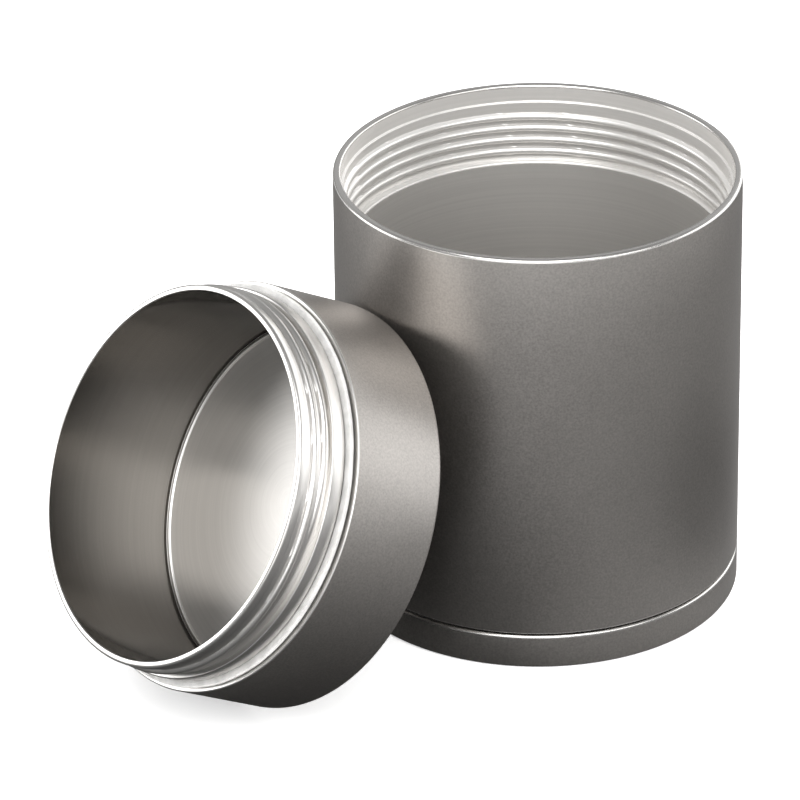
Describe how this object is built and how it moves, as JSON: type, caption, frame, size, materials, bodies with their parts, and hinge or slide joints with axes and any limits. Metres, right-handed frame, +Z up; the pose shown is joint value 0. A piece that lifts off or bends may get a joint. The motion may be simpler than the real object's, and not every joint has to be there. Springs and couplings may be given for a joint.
{
  "type": "travel pill organizer",
  "caption": "Round metal pill jar with a screw cap, shown open: the cap lies off the jar and leans on its side.",
  "frame": {"origin": "centre of the jar's flat underside, on the surface it stands on", "axes": "+Z up along the jar's axis; the cap leans on the jar's -X, -Y side"},
  "size_m": [0.0729, 0.0678, 0.0479],
  "materials": {
    "jar_metal": "bead-blasted titanium outside, bright turned rim and thread",
    "base_metal": "bead-blasted titanium",
    "cap_metal": "bead-blasted titanium",
    "neck_metal": "bright turned titanium, brushed bore",
    "disc_metal": "spun satin titanium",
    "seal_silicone": "translucent white silicone"
  },
  "bodies": {
    "jar": {"jar_shell": "jar_metal", "jar_base": "base_metal"},
    "seal": {"seal_ring": "seal_silicone"},
    "cap": {"cap_shell": "cap_metal", "cap_collar": "neck_metal", "cap_end_disc": "disc_metal"}
  },
  "joints": [
    {"name": "cap_swing", "type": "hinge", "parent": "jar", "child": "seal", "pos_m": [-0.02357, -0.01834, 0.05165], "axis": [-0.6076, 0.7941, -0.018], "range_deg": [0, 241.87]},
    {"name": "cap_turn", "type": "hinge", "parent": "seal", "child": "cap", "pos_m": [-0.02476, -0.02, 0.01884], "axis": [-0.7164, -0.5148, 0.471], "continuous": true}
  ]
}
